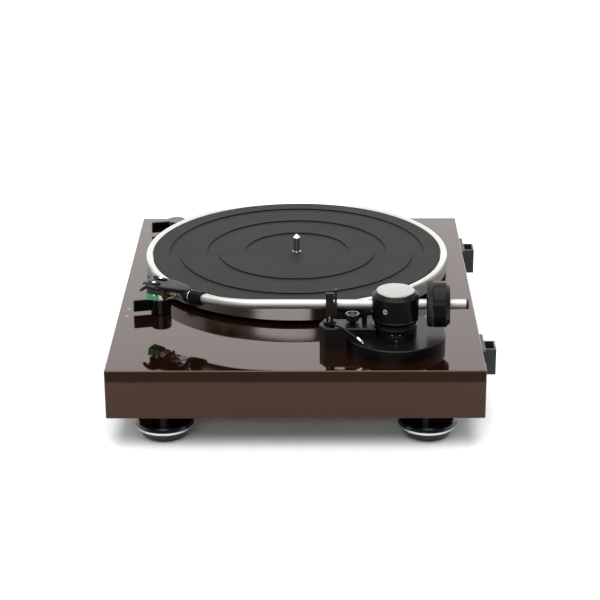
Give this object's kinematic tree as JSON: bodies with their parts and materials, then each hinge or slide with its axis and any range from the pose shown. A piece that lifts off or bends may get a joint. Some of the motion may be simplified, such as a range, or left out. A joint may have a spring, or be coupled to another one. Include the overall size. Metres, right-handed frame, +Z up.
{
  "type": "turntable record player",
  "caption": "Belt-drive turntable: lacquered board plinth on round feet, cast platter with rubber mat, bent tonearm with counterweight, armrest and cue lift.",
  "frame": {"origin": "centre of the bounding box's bottom face, on the surface that the feet stand on", "axes": "+X towards the tonearm side, +Y towards the rear, +Z up"},
  "size_m": [0.4214, 0.3644, 0.1395],
  "materials": {
    "lacquered_board": "high-gloss brown lacquer",
    "cover_black": "matt black",
    "foot_black": "glossy black",
    "bright_metal": "polished",
    "soft_pad": "matt",
    "steel": "zinc plated",
    "brass_parts": "turned",
    "platter_metal": "satin turned",
    "subplatter_plastic": "moulded",
    "mat_rubber": "matt",
    "belt_rubber": "ground",
    "knob_black": "glossy black",
    "case_plastic": "moulded",
    "circuit_board": "solder mask",
    "arm_black": "satin black",
    "arm_silver": "satin anodised",
    "weight_black": "satin black",
    "headshell_metal": "dark anodised",
    "cartridge_black": "moulded",
    "stylus_green": "moulded green",
    "lead_cover": "coloured sleeves",
    "hinge_plastic": "moulded dark grey"
  },
  "bodies": {
    "chassis": {"plinth": "lacquered_board", "bottom_cover": "cover_black", "cover_screws": "steel", "foot_bodies": "foot_black", "foot_rings": "bright_metal", "foot_pads": "soft_pad", "bearing_housing": "brass_parts", "bearing_bushes": "brass_parts", "thrust_ball": "bright_metal", "motor_plate": "steel", "motor_can": "steel", "motor_screws": "steel", "drive_belt": "belt_rubber", "speed_switch": "case_plastic", "start_switch": "case_plastic", "control_board": "circuit_board", "phono_board": "circuit_board", "board_posts": "brass_parts", "jack_plate": "cover_black", "phono_jacks": "brass_parts", "ground_terminal": "brass_parts", "power_inlet": "case_plastic", "line_switch_case": "steel", "hinge_socket_left": "hinge_plastic", "hinge_socket_right": "hinge_plastic", "rear_screws": "steel", "arm_base": "arm_black", "height_lock_screw": "steel", "lift_housing": "arm_black", "armrest": "case_plastic", "rest_pin": "brass_parts"},
    "platter": {"spindle_shaft": "bright_metal", "subplatter": "subplatter_plastic", "platter": "platter_metal", "platter_mat": "mat_rubber"},
    "motor_rotor": {"motor_shaft": "steel", "motor_pulley": "brass_parts"},
    "speed_knob": {"speed_knob": "knob_black"},
    "start_knob": {"start_knob": "knob_black"},
    "line_switch": {"line_switch_slider": "case_plastic"},
    "pillar": {"arm_pillar": "arm_black"},
    "arm_drum": {"bearing_drum": "arm_black", "pivot_screws": "bright_metal", "drum_cap": "arm_silver"},
    "tonearm": {"pivot_block": "arm_silver", "arm_tube": "arm_silver", "rear_stub": "arm_silver", "stub_cap": "case_plastic", "headshell": "headshell_metal", "headshell_screws": "steel", "headshell_leads": "lead_cover", "cartridge": "cartridge_black", "stylus_holder": "stylus_green"},
    "locking_collar": {"locking_collar": "arm_black"},
    "counterweight": {"counterweight": "weight_black"},
    "force_dial": {"force_dial": "case_plastic"},
    "cue_lever": {"cue_lever": "steel"},
    "lift_bar": {"lift_bar": "arm_black"},
    "anti_skate_dial": {"anti_skate_dial": "case_plastic"},
    "armrest_latch": {"armrest_latch": "case_plastic"}
  },
  "joints": [
    {"name": "platter_spin", "type": "hinge", "parent": "chassis", "child": "platter", "pos_m": [-0.0547, -0.00835, 0.078], "axis": [0, 0, -1], "continuous": true},
    {"name": "motor_spin", "type": "hinge", "parent": "chassis", "child": "motor_rotor", "pos_m": [-0.11894, -0.1001, 0.078], "axis": [0, 0, -1], "continuous": true},
    {"name": "speed_turn", "type": "hinge", "parent": "chassis", "child": "speed_knob", "pos_m": [0.0667, -0.14075, 0.078], "axis": [0, 0, 1], "range_deg": [-26, 0]},
    {"name": "start_turn", "type": "hinge", "parent": "chassis", "child": "start_knob", "pos_m": [-0.1614, -0.14155, 0.078], "axis": [0, 0, 1], "range_deg": [-26, 0]},
    {"name": "line_switch_slide", "type": "slide", "parent": "chassis", "child": "line_switch", "axis": [1, 0, 0], "range_m": [0, 0.004]},
    {"name": "arm_height", "type": "slide", "parent": "chassis", "child": "pillar", "axis": [0, 0, 1], "range_m": [0, 0.006]},
    {"name": "arm_swing", "type": "hinge", "parent": "pillar", "child": "arm_drum", "pos_m": [0.1447, 0.08625, 0.117], "axis": [0, 0, -1], "range_deg": [0, 39]},
    {"name": "arm_lift", "type": "hinge", "parent": "arm_drum", "child": "tonearm", "pos_m": [0.1447, 0.08625, 0.117], "axis": [-0.887, 0.4617, 0], "range_deg": [0, 4]},
    {"name": "collar_turn", "type": "hinge", "parent": "tonearm", "child": "locking_collar", "pos_m": [0.11678, -0.10353, 0.11317], "axis": [-0.4617, -0.8868, -0.0183], "range_deg": [0, 60]},
    {"name": "weight_slide", "type": "slide", "parent": "tonearm", "child": "counterweight", "axis": [0.0558, 0.9982, 0.0201], "range_m": [0, 0.013]},
    {"name": "force_dial_turn", "type": "hinge", "parent": "counterweight", "child": "force_dial", "pos_m": [0.14633, 0.1154, 0.11759], "axis": [0.0558, 0.9982, 0.0201], "range_deg": [0, 270]},
    {"name": "cue_lever_turn", "type": "hinge", "parent": "chassis", "child": "cue_lever", "pos_m": [0.1552, 0.02575, 0.1016], "axis": [0.8575, -0.5145, 0], "range_deg": [0, 60]},
    {"name": "lift_bar_rise", "type": "slide", "parent": "chassis", "child": "lift_bar", "axis": [0, 0, 1], "range_m": [0, 0.00184]},
    {"name": "anti_skate_turn", "type": "hinge", "parent": "chassis", "child": "anti_skate_dial", "pos_m": [0.1417, 0.04615, 0.098], "axis": [0, 0, 1], "range_deg": [0, 270]},
    {"name": "latch_turn", "type": "hinge", "parent": "chassis", "child": "armrest_latch", "pos_m": [0.149, 0.02915, 0.1246], "axis": [0, 1, 0], "range_deg": [-85, 0]}
  ],
  "couplings": [
    {"joint": "motor_spin", "follows": "platter_spin", "ratio": 13.336},
    {"joint": "cue_lever_turn", "follows": "arm_lift", "ratio": 15},
    {"joint": "lift_bar_rise", "follows": "arm_lift", "m_per_rad": 0.026356}
  ]
}
